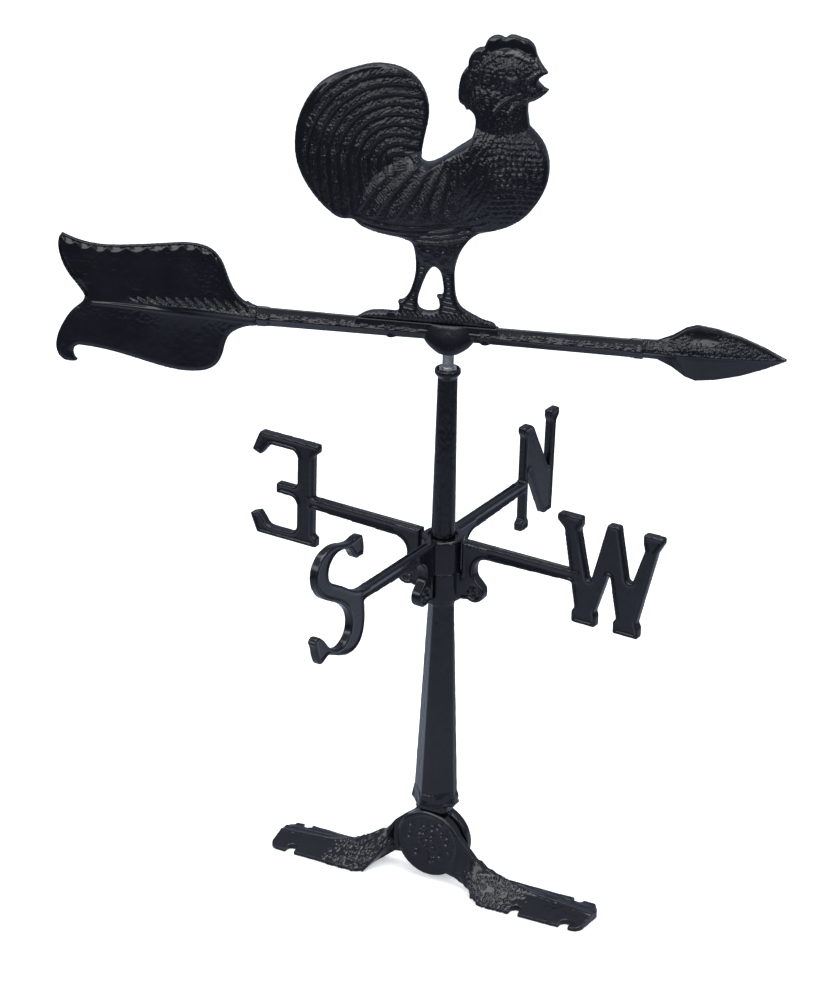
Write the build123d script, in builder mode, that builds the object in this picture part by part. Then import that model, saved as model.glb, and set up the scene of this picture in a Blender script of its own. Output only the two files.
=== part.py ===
from build123d import *
import os
from math import cos, radians, sin

# Weather vane, millimetres. Z is the post's axis, z = 0 is the plane of the foot undersides,
# and the two roof feet lie along X.

os.makedirs("parts", exist_ok=True)

# ---------------------------------------------------------------- driving dimensions

# Headings about Z, in degrees from +X.
ARROW_HEADING = 18.3
WEST_HEADING = -3.7
NORTH_HEADING = 86.3

# Spindle rod, 3/8 inch, and the parts on it.
ROD_RADIUS = 4.76
ROD_BOTTOM = 232.0
ROD_TOP = 500.5
RUNNING_GAP = 0.08
NUT_FLATS = 14.3
NUT_HEIGHT = 4.6

# Feet and their pivot.
PIVOT_HEIGHT = 34.5
DISC_RADIUS = 30.5
DISC_THICKNESS = 7.0
LUG_THICKNESS = 6.4
SIDE_GAP = 0.3
BOLT_RADIUS = 4.76
TAP_GAP = 0.02
BLIND_WALL = 1.5
LIP_THICKNESS = 3.0
FLANGE_THICKNESS = 5.5
FLANGE_FRONT = 5.0
PLATE_INNER_END = 54.0
RIGHT_TIP = 156.0
LEFT_TIP = 147.0
PLATE_FRONT = -32.5
PLATE_REAR = 14.6
FLANGE_START = 66.0
NOTCH_WIDTH = 8.5
FRONT_NOTCH_DEPTH = 10.0
REAR_NOTCH_DEPTH = 6.5
RIGHT_FRONT_NOTCHES = (92.5, 139.5)
RIGHT_REAR_NOTCH = 133.0
LEFT_FRONT_NOTCHES = (-125.0,)
LEFT_REAR_NOTCH = -130.5

# Posts.
SKIRT_BOTTOM = 72.6
SKIRT_TOP = 85.0
SKIRT_WIDTH = 34.8
SKIRT_EDGE = 3.4
RING_BOTTOM = 260.6
LOWER_POST_TOP = 266.4
UPPER_POST_BOTTOM = 319.2
UPPER_POST_TOP = 472.7

# Compass castings.
HUB_RADIUS = 18.2
HUB_GAP = 2.4
HUB_BOTTOM = 266.6
HUB_SEAM = 292.3
HUB_TOP = 322.0
RECESS_RADIUS = 12.8
RECESS_DEPTH = 3.0
ARM_TOP = 322.3
ARM_BOTTOM = 312.2
ARM_END = 132.0
WEB_RADIUS = 33.0
LOBE_HEIGHT = 279.0
LOBE_RADIUS = 9.8
LETTER_THICKNESS = 7.0
ARM_THICKNESS = 8.4

# Arrow and rooster.
ARROW_HEIGHT = 504.2
SHAFT_HALF_LENGTH = 160.0
SHAFT_TOP = 512.0
SPIGOT_RADIUS = 2.5
SPIGOT_LENGTH = 18.0
BUSH_BORE_RADIUS = 7.0
PIVOT_BORE_RADIUS = 5.2
PIVOT_BORE_TOP = 507.2
PIVOT_MOUTH = 487.0
BALL_RADIUS = 3.97


def upright_plane(heading):
    """Vertical plane through the post's axis: x runs outward at the heading, y is up."""
    turn = radians(heading)
    return Plane(origin=(0, 0, 0), x_dir=(cos(turn), sin(turn), 0), z_dir=(sin(turn), -cos(turn), 0))


def cross_plane(heading, distance):
    """Plane across a horizontal bar: x is sideways, y is up, at a distance along the heading."""
    turn = radians(heading)
    outward = (cos(turn), sin(turn), 0)
    sideways = (-sin(turn), cos(turn), 0)
    return Plane(
        origin=(outward[0] * distance, outward[1] * distance, 0),
        x_dir=sideways,
        z_dir=outward,
    )


def level_plane(heading, height):
    """Level plane at a height: x runs outward at the heading, and its normal is up."""
    turn = radians(heading)
    return Plane(origin=(0, 0, height), x_dir=(cos(turn), sin(turn), 0), z_dir=(0, 0, 1))


def rounded_outline(corners):
    """A filled outline from corners given as (x, y, corner radius)."""
    with BuildSketch() as outline:
        with BuildLine():
            points = [(x, y) for x, y, r in corners]
            FilletPolyline(*points, radius=[r for x, y, r in corners], close=True)
        make_face()
    return outline.sketch


def smooth_outline(runs):
    """A filled outline whose runs are splines, or lines from a single point, with corners between."""
    starts = [run[0] for run in runs]
    with BuildSketch() as outline:
        with BuildLine():
            for run, end in zip(runs, starts[1:] + starts[:1]):
                if len(run) == 1:
                    Line(run[0], end)
                else:
                    Spline(*run, end)
        make_face()
    return outline.sketch


def rhombus(half_width, half_height, height):
    """A bar's section, with its corners blunted, centred at a height."""
    w = half_width
    h = half_height
    low = height - h
    high = height + h
    blunt_w = 0.16 * w
    blunt_h = 0.16 * h
    return rounded_outline(
        [
            (w, height - blunt_h, 0),
            (w, height + blunt_h, 0),
            (blunt_w, high, 0),
            (-blunt_w, high, 0),
            (-w, height + blunt_h, 0),
            (-w, height - blunt_h, 0),
            (-blunt_w, low, 0),
            (blunt_w, low, 0),
        ]
    )


def blob(centre, half_sizes, tilt=0.0):
    """A private ellipsoid in the arrow's upright plane: centre (along, up), half sizes, tilt."""
    ball = scale(Sphere(1.0, mode=Mode.PRIVATE), by=half_sizes)
    return upright_plane(ARROW_HEADING) * Location((centre[0], centre[1], 0), (0, 0, tilt)) * ball


def finish(part, name):
    """Label a piece and write it."""
    part.label = name
    export_step(part, f"parts/{name}.step")


# ---------------------------------------------------------------- spindle

with BuildPart() as spindle_rod:
    with BuildSketch(Plane.XY.offset(ROD_BOTTOM)):
        Circle(ROD_RADIUS)
    extrude(amount=ROD_TOP - ROD_BOTTOM)
    chamfer(spindle_rod.edges().filter_by(GeomType.CIRCLE), 0.8)
    with Locations((0, 0, ROD_TOP + BALL_RADIUS - 1.5)):
        Sphere(BALL_RADIUS, mode=Mode.SUBTRACT)
finish(spindle_rod.part, "spindle_rod")

with BuildPart() as pivot_ball:
    with Locations((0, 0, ROD_TOP + BALL_RADIUS - 1.5)):
        Sphere(BALL_RADIUS)
finish(pivot_ball.part, "pivot_ball")

CUP_FLOOR = UPPER_POST_TOP - 5.6
NECK_BOTTOM = PIVOT_HEIGHT + DISC_RADIUS + 0.6
ROD_HOLE_BOTTOM = ROD_BOTTOM - 6
WASHER_THICKNESS = 0.9

with BuildPart() as spindle_star_washer:
    with BuildSketch(Plane.XY.offset(CUP_FLOOR)):
        Circle(7.4)
        with PolarLocations(7.6, 12):
            Rectangle(1.6, 1.6)
        Circle(ROD_RADIUS + 0.1, mode=Mode.SUBTRACT)
    extrude(amount=WASHER_THICKNESS)
finish(spindle_star_washer.part, "spindle_star_washer")

with BuildPart() as spindle_jam_nut:
    with BuildSketch(Plane.XY.offset(CUP_FLOOR + WASHER_THICKNESS)):
        RegularPolygon(NUT_FLATS / 2, 6, major_radius=False)
        Circle(ROD_RADIUS + TAP_GAP, mode=Mode.SUBTRACT)
    extrude(amount=NUT_HEIGHT)
    nut_bore_edges = spindle_jam_nut.edges().filter_by(GeomType.CIRCLE)
    chamfer(nut_bore_edges, 0.5)
finish(spindle_jam_nut.part, "spindle_jam_nut")

# ---------------------------------------------------------------- posts


def post_section(flat_distance, corner_flat):
    """A square section standing on its corner in X and Y, with the corners cut to narrow flats."""
    with Locations((0, 0)):
        Rectangle(flat_distance, flat_distance, rotation=45)
        reach = flat_distance * 2**0.5 - corner_flat
        Rectangle(reach, reach, mode=Mode.INTERSECT)


with BuildPart() as lower_post:
    # Four-sided tapered column.
    with BuildSketch(Plane.XY.offset(SKIRT_BOTTOM + SKIRT_EDGE)):
        post_section(32.6, 8.2)
    with BuildSketch(Plane.XY.offset(RING_BOTTOM + 1.4)):
        post_section(18.6, 3.2)
    loft()
    # Skirt round its foot.
    with BuildSketch(Plane.XY.offset(SKIRT_TOP)):
        post_section(32.0, 8.0)
    with BuildSketch(Plane.XY.offset(SKIRT_BOTTOM + SKIRT_EDGE)):
        post_section(SKIRT_WIDTH, 9.0)
    loft()
    with BuildSketch(Plane.XY.offset(SKIRT_BOTTOM)):
        post_section(SKIRT_WIDTH, 9.0)
    extrude(amount=SKIRT_EDGE)
    # Ring that carries the compass castings.
    with BuildSketch(Plane.XY.offset(RING_BOTTOM)):
        Circle(12.0)
    extrude(amount=LOWER_POST_TOP - RING_BOTTOM)
    ring_edges = lower_post.edges().filter_by(GeomType.CIRCLE).group_by(Axis.Z)
    chamfer(ring_edges[-1], 0.8)
    # Neck below the skirt, and the lug between the two foot discs.
    with BuildSketch(Plane.XY.offset(NECK_BOTTOM)):
        RectangleRounded(30, 22, 5)
    extrude(amount=SKIRT_BOTTOM - NECK_BOTTOM)
    with BuildSketch(Plane.XZ):
        with Locations((0, PIVOT_HEIGHT)):
            Circle(27.0)
        with Locations((0, (PIVOT_HEIGHT + SKIRT_BOTTOM) / 2)):
            Rectangle(29, SKIRT_BOTTOM - PIVOT_HEIGHT)
    extrude(amount=LUG_THICKNESS / 2, both=True)
    # Bolt hole through the lug, and the tapped hole for the rod.
    with BuildSketch(Plane.XZ):
        with Locations((0, PIVOT_HEIGHT)):
            Circle(BOLT_RADIUS + RUNNING_GAP)
    extrude(amount=LUG_THICKNESS, both=True, mode=Mode.SUBTRACT)
    with BuildSketch(Plane.XY.offset(ROD_HOLE_BOTTOM)):
        Circle(ROD_RADIUS + TAP_GAP)
    extrude(amount=LOWER_POST_TOP - ROD_HOLE_BOTTOM, mode=Mode.SUBTRACT)
finish(lower_post.part, "lower_post")

with BuildPart() as upper_post:
    # Tapered sleeve with a cupped collar on top, turned about Z.
    with BuildSketch(Plane.XZ):
        with BuildLine():
            Polyline(
                (ROD_RADIUS + 0.3, UPPER_POST_BOTTOM),
                (10.6, UPPER_POST_BOTTOM),
                (10.1, UPPER_POST_BOTTOM + 6),
                (8.25, UPPER_POST_TOP - 7.6),
                (10.9, UPPER_POST_TOP - 4.4),
                (10.9, UPPER_POST_TOP - 1),
                (10.2, UPPER_POST_TOP),
                (9.2, UPPER_POST_TOP),
                (8.7, UPPER_POST_TOP - 0.8),
                (8.7, CUP_FLOOR),
                (ROD_RADIUS + 0.3, CUP_FLOOR),
                close=True,
            )
        make_face()
    revolve(axis=Axis.Z)
finish(upper_post.part, "upper_post")

# ---------------------------------------------------------------- compass castings


def arm_and_web(inner_low, inner_high):
    """Side view of one arm with the web and round lobe that hang from it beside the hub."""
    lobe_shoulder = LOBE_RADIUS / 2**0.5
    arm_and_web_outline = rounded_outline(
        [
            (inner_low, HUB_BOTTOM + 2, 0),
            (inner_low, HUB_SEAM, 0),
            (inner_high, HUB_SEAM, 0),
            (inner_high, ARM_TOP, 0),
            (ARM_END, ARM_TOP + 0.4, 0),
            (ARM_END, ARM_BOTTOM + 1.4, 0),
            (WEB_RADIUS, ARM_BOTTOM - 1.6, 12.0),
            (WEB_RADIUS, LOBE_HEIGHT + 2 * lobe_shoulder, 8.0),
            (WEB_RADIUS + lobe_shoulder, LOBE_HEIGHT + lobe_shoulder, 0),
            (WEB_RADIUS, LOBE_HEIGHT, 0),
            (WEB_RADIUS - 4, HUB_BOTTOM + 4, 0),
        ]
    )
    with BuildSketch() as side_view:
        add(arm_and_web_outline)
        with Locations((WEB_RADIUS, LOBE_HEIGHT)):
            Circle(LOBE_RADIUS)
    return side_view.sketch


def letter_e():
    """The letter E, its stem on the hub side; corners as (outward, up, radius)."""
    return rounded_outline(
        [
            (122.6, 372.3, 2.0),
            (122.6, 365.5, 1.0),
            (127.4, 361, 2.0),
            (127.4, 288.5, 2.0),
            (123.8, 286, 1.0),
            (123.8, 277.6, 1.5),
            (183.5, 277.6, 3.0),
            (190.5, 294.5, 1.5),
            (181.5, 298, 1.5),
            (172.5, 286, 8.0),
            (143.2, 286, 8.0),
            (143.2, 319.6, 8.0),
            (164.4, 319.6, 1.5),
            (164.4, 329.2, 2.5),
            (143.2, 329.2, 5.0),
            (143.2, 362.2, 7.0),
            (171.5, 362.2, 8.0),
            (180.5, 350.6, 1.5),
            (189, 354, 1.5),
            (181.6, 372.3, 3.0),
        ]
    )


def letter_w():
    """The letter W, with serifs top and bottom; corners as (outward, up, radius)."""
    return rounded_outline(
        [
            (110.4, 372.6, 3.0),
            (110.4, 366, 2.0),
            (117, 359.5, 3.0),
            (129, 291, 2.0),
            (126.6, 287, 2.0),
            (126.6, 277.2, 2.0),
            (149.4, 277.2, 2.0),
            (149.4, 287, 2.0),
            (148.2, 291, 2.0),
            (160.5, 331.5, 1.5),
            (168.4, 291, 2.0),
            (165.8, 287, 2.0),
            (165.8, 277.2, 2.0),
            (189.6, 277.2, 2.0),
            (189.6, 287, 2.0),
            (187.4, 291, 2.0),
            (203.4, 357, 3.0),
            (209.4, 368, 2.0),
            (209.4, 373, 2.0),
            (190.8, 373, 2.0),
            (190.8, 366, 2.0),
            (192.6, 358, 2.0),
            (179, 317, 3.0),
            (168.4, 373, 2.0),
            (157.4, 373, 2.0),
            (142, 312, 2.0),
            (131, 360, 2.0),
            (133.2, 365, 2.0),
            (133.2, 372.6, 2.0),
        ]
    )


def letter_n():
    """The letter N, with thin uprights and a broad diagonal; corners as (outward, up, radius)."""
    return rounded_outline(
        [
            (126.2, 373.6, 1.5),
            (126.2, 368, 1.5),
            (129, 364, 2.0),
            (128.2, 288, 2.0),
            (124.2, 285, 1.5),
            (124.2, 277.4, 2.0),
            (137.6, 277.4, 2.0),
            (137.6, 284, 1.5),
            (135, 288, 2.0),
            (135, 334.5, 1.0),
            (164, 280.6, 2.5),
            (177, 280.6, 1.5),
            (180, 363, 2.0),
            (185, 368, 2.0),
            (184.4, 374.4, 2.0),
            (170.4, 374.4, 1.5),
            (170.4, 368, 2.0),
            (172.6, 364, 2.0),
            (171, 320, 1.0),
            (142, 370, 6.0),
            (137, 373.6, 4.0),
        ]
    )


def letter_s():
    """The letter S, with blunt cut terminals; smooth runs of (outward, up)."""
    return smooth_outline(
        [
            [(131.2, 355), (132.4, 369.5)],
            [(134, 373.2), (141, 374.2), (150, 373)],
            [(151.5, 373), (160, 374.8), (173, 378.3), (188, 377.2), (198, 371), (202, 361), (200.5, 351)]
            + [(193, 340), (180, 331.5), (163, 322), (152, 312), (147.6, 301), (149.6, 290.5), (157, 284.4)]
            + [(166, 283.4), (175, 286.8)],
            [(177, 288), (186, 297), (194, 304.4)],
            [(196, 305.6), (202, 304.2)],
            [(203.4, 301.5), (199, 291), (194.5, 281)],
            [(193.6, 280.2), (188, 281.4), (182, 283.6)],
            [(180.5, 283.8), (172, 280), (160, 275), (147, 272.6), (136, 275.5), (129.4, 283.5), (127, 296)]
            + [(128, 310)],
            [(130, 323), (140, 325.6), (149, 330), (160, 337), (172, 343.4), (181.6, 350.6), (183.4, 359.5)]
            + [(178, 368), (168.5, 371), (158, 369.4), (149.5, 364), (143.5, 356.5)],
            [(141, 355)],
        ]
    )


SOUTH_HEADING = NORTH_HEADING + 180
EAST_HEADING = WEST_HEADING + 180

with BuildPart() as north_south_arms:
    # Upper half of the hub, recessed round the upper post's foot.
    with BuildSketch(Plane.XY.offset(HUB_SEAM)):
        Circle(HUB_RADIUS)
    extrude(amount=HUB_TOP - HUB_SEAM)
    chamfer(north_south_arms.edges().group_by(Axis.Z)[-1], 1.2)
    for heading, letter in ((NORTH_HEADING, letter_n), (SOUTH_HEADING, letter_s)):
        with BuildSketch(upright_plane(heading)):
            add(arm_and_web(HUB_RADIUS + HUB_GAP, HUB_RADIUS - 2))
        extrude(amount=ARM_THICKNESS / 2, both=True)
        with BuildSketch(upright_plane(heading)):
            add(letter())
        extrude(amount=LETTER_THICKNESS / 2, both=True)
    with BuildSketch(Plane.XY.offset(HUB_BOTTOM)):
        Circle(ROD_RADIUS + RUNNING_GAP)
    extrude(amount=HUB_TOP - HUB_BOTTOM, mode=Mode.SUBTRACT)
    with BuildSketch(Plane.XY.offset(HUB_TOP - RECESS_DEPTH)):
        Circle(RECESS_RADIUS)
    extrude(amount=RECESS_DEPTH, mode=Mode.SUBTRACT)
finish(north_south_arms.part, "north_south_arms")

with BuildPart() as east_west_arms:
    # Lower half of the hub; its arms rise outside the upper half and end clear of it.
    with BuildSketch(Plane.XY.offset(HUB_BOTTOM)):
        Circle(HUB_RADIUS)
    extrude(amount=HUB_SEAM - HUB_BOTTOM)
    for heading, letter in ((EAST_HEADING, letter_e), (WEST_HEADING, letter_w)):
        with BuildSketch(upright_plane(heading)):
            add(arm_and_web(HUB_RADIUS - 2, HUB_RADIUS + HUB_GAP))
        extrude(amount=ARM_THICKNESS / 2, both=True)
        with BuildSketch(upright_plane(heading)):
            add(letter())
        extrude(amount=LETTER_THICKNESS / 2, both=True)
    with BuildSketch(Plane.XY.offset(HUB_BOTTOM)):
        Circle(ROD_RADIUS + RUNNING_GAP)
    extrude(amount=HUB_TOP - HUB_BOTTOM, mode=Mode.SUBTRACT)
finish(east_west_arms.part, "east_west_arms")

# ---------------------------------------------------------------- feet


def foot_plate(side, tip):
    """Plan of one foot's plate; side is 1 for +X and -1 for -X."""
    return rounded_outline(
        [
            (side * PLATE_INNER_END, PLATE_FRONT, 10.0),
            (side * (tip - 1.5), PLATE_FRONT + 1.5, 9.0),
            (side * tip, 2, 7.0),
            (side * (tip - 8), PLATE_REAR, 6.0),
            (side * FLANGE_START, PLATE_REAR, 1.0),
            (side * FLANGE_START, FLANGE_FRONT, 1.0),
            (side * PLATE_INNER_END, FLANGE_FRONT, 1.0),
        ]
    )


def beyond_plate(side, tip):
    """Everything round a plate's outer part, in plan."""
    length = tip - FLANGE_START + 20
    with BuildSketch() as outside:
        with Locations((side * (FLANGE_START + length / 2), 0)):
            Rectangle(length, 140)
        add(foot_plate(side, tip), mode=Mode.SUBTRACT)
    return outside.sketch


def notch(x, edge, depth):
    """Plan of one screw notch: an open-ended slot with a round bottom."""
    inward = 1 if edge < 0 else -1
    with BuildSketch() as slot:
        with Locations((x, edge + inward * (depth - NOTCH_WIDTH / 2))):
            Circle(NOTCH_WIDTH / 2)
        with Locations((x, edge + inward * (depth - NOTCH_WIDTH / 2) / 2 - inward * 3)):
            Rectangle(NOTCH_WIDTH, depth - NOTCH_WIDTH / 2 + 6)
    return slot.sketch


def arm_section(ridge, rear_top, lip, bottom, heel):
    """Cross-section of a foot: ridge, back corner, front lip and flat bottom, as (y, z) points."""
    return rounded_outline(
        [
            (*rear_top, 0),
            (*ridge, 0),
            (*lip, 0),
            (lip[0], bottom, 0),
            (heel, bottom, 0),
        ]
    )


# Stations along each foot from its disc to beyond its tip: x, then the section there.
LIP_EDGE = PLATE_FRONT + 0.3
RIGHT_ARM = (
    (14, ((-10.4, 61), (-3.6, 60.5), (-10.4, 14.5), 10, -3.6)),
    (29, ((-10.4, 46), (-3.6, 45.5), (-11, 10.5), 6, -3.6)),
    (38, ((-10, 36), (-3.6, 35.5), (-14, 7.5), 3, -3.6)),
    (48, ((-9.5, 27.5), (-2.5, 27), (-24.5, 5), 0.5, 1)),
    (58, ((-7.5, 20.8), (-1, 20), (-31, 3.6), 0, 5)),
    (72, ((-4.5, 14.5), (2, 13), (LIP_EDGE, LIP_THICKNESS), 0, 9)),
    (88, ((-3, 9.8), (9, 8), (LIP_EDGE, LIP_THICKNESS), 0, 12.5)),
    (106, ((-4, 8.5), (13.5, 6), (LIP_EDGE, LIP_THICKNESS), 0, 14.2)),
    (162, ((-8.5, 7.5), (13.5, 5.5), (LIP_EDGE, LIP_THICKNESS), 0, 14.2)),
)
LEFT_ARM = (
    (-14, ((3.6, 61), (10.4, 60.5), (3.6, 14.5), 10, 10.4)),
    (-30, ((3.6, 49), (10.4, 48.5), (3.6, 15.5), 11, 10.4)),
    (-40, ((3.6, 40), (10, 39.5), (0.5, 14.5), 10, 10)),
    (-54, ((2, 27), (8.5, 26.5), (-29, 4), 0, 9.5)),
    (-72, ((-1, 16), (6, 15), (LIP_EDGE, LIP_THICKNESS), 0, 9)),
    (-86, ((-4, 11), (9, 8.5), (LIP_EDGE, LIP_THICKNESS), 0, 12.5)),
    (-102, ((-4.8, 8.5), (13.5, 6), (LIP_EDGE, LIP_THICKNESS), 0, 14.2)),
    (-153, ((-8.5, 7.5), (13.5, 5.5), (LIP_EDGE, LIP_THICKNESS), 0, 14.2)),
)


PLATE_CLEARANCE = 30.0
FRONT_DISC_Y = -(LUG_THICKNESS / 2 + SIDE_GAP + DISC_THICKNESS)
REAR_DISC_Y = LUG_THICKNESS / 2 + SIDE_GAP

# Name, side, tip, disc front, arm stations, front notches, rear notch, bolt hole radius and depth.
FEET = (
    ("right_foot", 1, RIGHT_TIP, FRONT_DISC_Y, RIGHT_ARM, RIGHT_FRONT_NOTCHES, RIGHT_REAR_NOTCH)
    + (BOLT_RADIUS + TAP_GAP, DISC_THICKNESS - BLIND_WALL),
    ("left_foot", -1, LEFT_TIP, REAR_DISC_Y, LEFT_ARM, LEFT_FRONT_NOTCHES, LEFT_REAR_NOTCH)
    + (BOLT_RADIUS + RUNNING_GAP, DISC_THICKNESS),
)

for name, side, tip, disc_y, arm, front_notches, rear_notch, hole_radius, hole_depth in FEET:
    with BuildPart() as foot:
        # Disc and the arm that sweeps down from it, turning from upright to sloping.
        with BuildSketch(Plane.XZ.offset(-disc_y)):
            with Locations((0, PIVOT_HEIGHT)):
                Circle(DISC_RADIUS)
        extrude(amount=-DISC_THICKNESS)
        for x, section in arm:
            with BuildSketch(Plane.YZ.offset(x)):
                add(arm_section(*section))
        loft(ruled=True)
        # Plate: a thin lip in front and a thicker flange behind the ridge.
        with BuildSketch(Plane.XY):
            add(foot_plate(side, tip))
        extrude(amount=LIP_THICKNESS)
        with BuildSketch(Plane.XY):
            with Locations((side * (FLANGE_START + tip) / 2, (FLANGE_FRONT + PLATE_REAR) / 2)):
                Rectangle(tip - FLANGE_START, PLATE_REAR - FLANGE_FRONT)
        extrude(amount=FLANGE_THICKNESS)
        with BuildSketch(Plane.XY):
            add(beyond_plate(side, tip))
        extrude(amount=PLATE_CLEARANCE, mode=Mode.SUBTRACT)
        # Screw notches in the plate's front and rear edges.
        with BuildSketch(Plane.XY):
            for x in front_notches:
                add(notch(x, PLATE_FRONT, FRONT_NOTCH_DEPTH))
            add(notch(rear_notch, PLATE_REAR, REAR_NOTCH_DEPTH))
        extrude(amount=PLATE_CLEARANCE, mode=Mode.SUBTRACT)
        # Hole for the pivot bolt: blind and tapped in front, plain behind.
        with BuildSketch(Plane.XZ.offset(-disc_y - DISC_THICKNESS)):
            with Locations((0, PIVOT_HEIGHT)):
                Circle(hole_radius)
        extrude(amount=hole_depth, mode=Mode.SUBTRACT)
    finish(foot.part, name)

# Pivot bolt: its thread bites in the near disc, and its head, behind, clamps the stack.
BOLT_TIP_Y = FRONT_DISC_Y + 2.0
WASHER_FACE_Y = REAR_DISC_Y + DISC_THICKNESS + 0.15
FLAT_WASHER = 1.6
LOCK_WASHER = 2.2
BOLT_HEAD = 6.0

with BuildPart() as foot_bolt_washer:
    with BuildSketch(Plane.XZ.offset(-WASHER_FACE_Y)):
        with Locations((0, PIVOT_HEIGHT)):
            Circle(10.3)
            Circle(BOLT_RADIUS + 0.3, mode=Mode.SUBTRACT)
    extrude(amount=-FLAT_WASHER)
finish(foot_bolt_washer.part, "foot_bolt_washer")

with BuildPart() as foot_lock_washer:
    with BuildSketch(Plane.XZ.offset(-WASHER_FACE_Y - FLAT_WASHER)):
        with Locations((0, PIVOT_HEIGHT)):
            Circle(8.4)
            Circle(BOLT_RADIUS + 0.2, mode=Mode.SUBTRACT)
        with Locations((6.6, PIVOT_HEIGHT)):
            Rectangle(5, 1.0, mode=Mode.SUBTRACT)
    extrude(amount=-LOCK_WASHER)
finish(foot_lock_washer.part, "foot_lock_washer")

with BuildPart() as foot_pivot_bolt:
    with BuildSketch(Plane.XZ.offset(-BOLT_TIP_Y)):
        with Locations((0, PIVOT_HEIGHT)):
            Circle(BOLT_RADIUS)
    extrude(amount=BOLT_TIP_Y - WASHER_FACE_Y - FLAT_WASHER - LOCK_WASHER)
    with BuildSketch(Plane.XZ.offset(-WASHER_FACE_Y - FLAT_WASHER - LOCK_WASHER)):
        with Locations((0, PIVOT_HEIGHT)):
            RegularPolygon(NUT_FLATS / 2, 6, major_radius=False)
    extrude(amount=-BOLT_HEAD)
finish(foot_pivot_bolt.part, "foot_pivot_bolt")

# ---------------------------------------------------------------- arrow

SCREW_STATIONS = (-48.0, 30.0)
SCREW_RADIUS = 1.75
SCREW_HEAD_RADIUS = 3.0
SCREW_HEAD_HEIGHT = 2.0
SCREW_REACH = 519.0
BOSS_RADIUS = 4.0
SHAFT_UNDERSIDE = 496.4
GRUB_STATIONS = (-151.0, 151.0)
GRUB_RADIUS = 1.8

# Level sections of the pivot boss: height, half length, half width.
PIVOT_BOSS = (
    (PIVOT_MOUTH, 9.6, 9.4),
    (489.4, 13.6, 9.9),
    (493, 17.8, 10.0),
    (497.5, 20.8, 9.5),
    (503, 22.0, 8.2),
    (508.5, 21.4, 6.6),
    (SHAFT_TOP, 20.2, 5.4),
)
BUSH_BORE_TOP = 497.2

with BuildPart() as arrow_shaft:
    # Two halves of a four-sided bar that deepens towards its ends.
    for direction in (-1, 1):
        for distance, half_width, half_height in ((0, 4.8, 7.4), (SHAFT_HALF_LENGTH, 5.6, 8.2)):
            with BuildSketch(cross_plane(ARROW_HEADING, direction * distance)):
                add(rhombus(half_width, half_height, ARROW_HEIGHT))
        loft(ruled=True)
    # Pivot boss, oval in plan, which swells from the bar and closes in round the pivot's mouth.
    for height, half_length, half_width in PIVOT_BOSS:
        with BuildSketch(level_plane(ARROW_HEADING, height)):
            Ellipse(half_length, half_width)
    loft()
    # Level seat under the rooster.
    with BuildSketch(upright_plane(ARROW_HEADING)):
        add(rounded_outline([(-80, 504, 0), (-76, SHAFT_TOP, 0), (40, SHAFT_TOP, 0), (44, 504, 0)]))
    extrude(amount=4.2, both=True)
    # Bosses for the rooster's screws.
    for station in SCREW_STATIONS:
        spot = upright_plane(ARROW_HEADING).from_local_coords((station, 0, 0))
        with BuildSketch(Plane.XY.offset(SHAFT_UNDERSIDE)):
            with Locations((spot.X, spot.Y)):
                Circle(BOSS_RADIUS)
        extrude(amount=SHAFT_TOP - SHAFT_UNDERSIDE)
    # Blind pivot bore, screw holes from below, and the sockets for the tail and the head.
    for radius, top in ((BUSH_BORE_RADIUS, BUSH_BORE_TOP), (PIVOT_BORE_RADIUS, PIVOT_BORE_TOP)):
        with BuildSketch(Plane.XY.offset(PIVOT_MOUTH - 1)):
            Circle(radius)
        extrude(amount=top - PIVOT_MOUTH + 1, mode=Mode.SUBTRACT)
    for station in SCREW_STATIONS:
        spot = upright_plane(ARROW_HEADING).from_local_coords((station, 0, 0))
        with BuildSketch(Plane.XY.offset(PIVOT_MOUTH)):
            with Locations((spot.X, spot.Y)):
                Circle(SCREW_RADIUS + 0.2)
        extrude(amount=SHAFT_TOP - PIVOT_MOUTH + 1, mode=Mode.SUBTRACT)
        with BuildSketch(Plane.XY.offset(PIVOT_MOUTH)):
            with Locations((spot.X, spot.Y)):
                Circle(SCREW_HEAD_RADIUS + 0.2)
        extrude(amount=SHAFT_UNDERSIDE + SCREW_HEAD_HEIGHT + 0.2 - PIVOT_MOUTH, mode=Mode.SUBTRACT)
    for station in GRUB_STATIONS:
        spot = upright_plane(ARROW_HEADING).from_local_coords((station, 0, 0))
        with BuildSketch(Plane.XY.offset(PIVOT_MOUTH)):
            with Locations((spot.X, spot.Y)):
                Circle(GRUB_RADIUS + 0.05)
        extrude(amount=ARROW_HEIGHT - PIVOT_MOUTH, mode=Mode.SUBTRACT)
    for direction in (-1, 1):
        mouth = cross_plane(ARROW_HEADING, direction * (SHAFT_HALF_LENGTH + 0.5))
        with BuildSketch(mouth):
            with Locations((0, ARROW_HEIGHT)):
                Circle(SPIGOT_RADIUS + 0.05)
        extrude(amount=-direction * (SPIGOT_LENGTH + 1), mode=Mode.SUBTRACT)
finish(arrow_shaft.part, "arrow_shaft")

with BuildPart() as pivot_bush:
    with BuildSketch(Plane.XY.offset(PIVOT_MOUTH + 0.3)):
        Circle(BUSH_BORE_RADIUS)
        Circle(ROD_RADIUS + RUNNING_GAP, mode=Mode.SUBTRACT)
    extrude(amount=9.5)
finish(pivot_bush.part, "pivot_bush")

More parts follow.
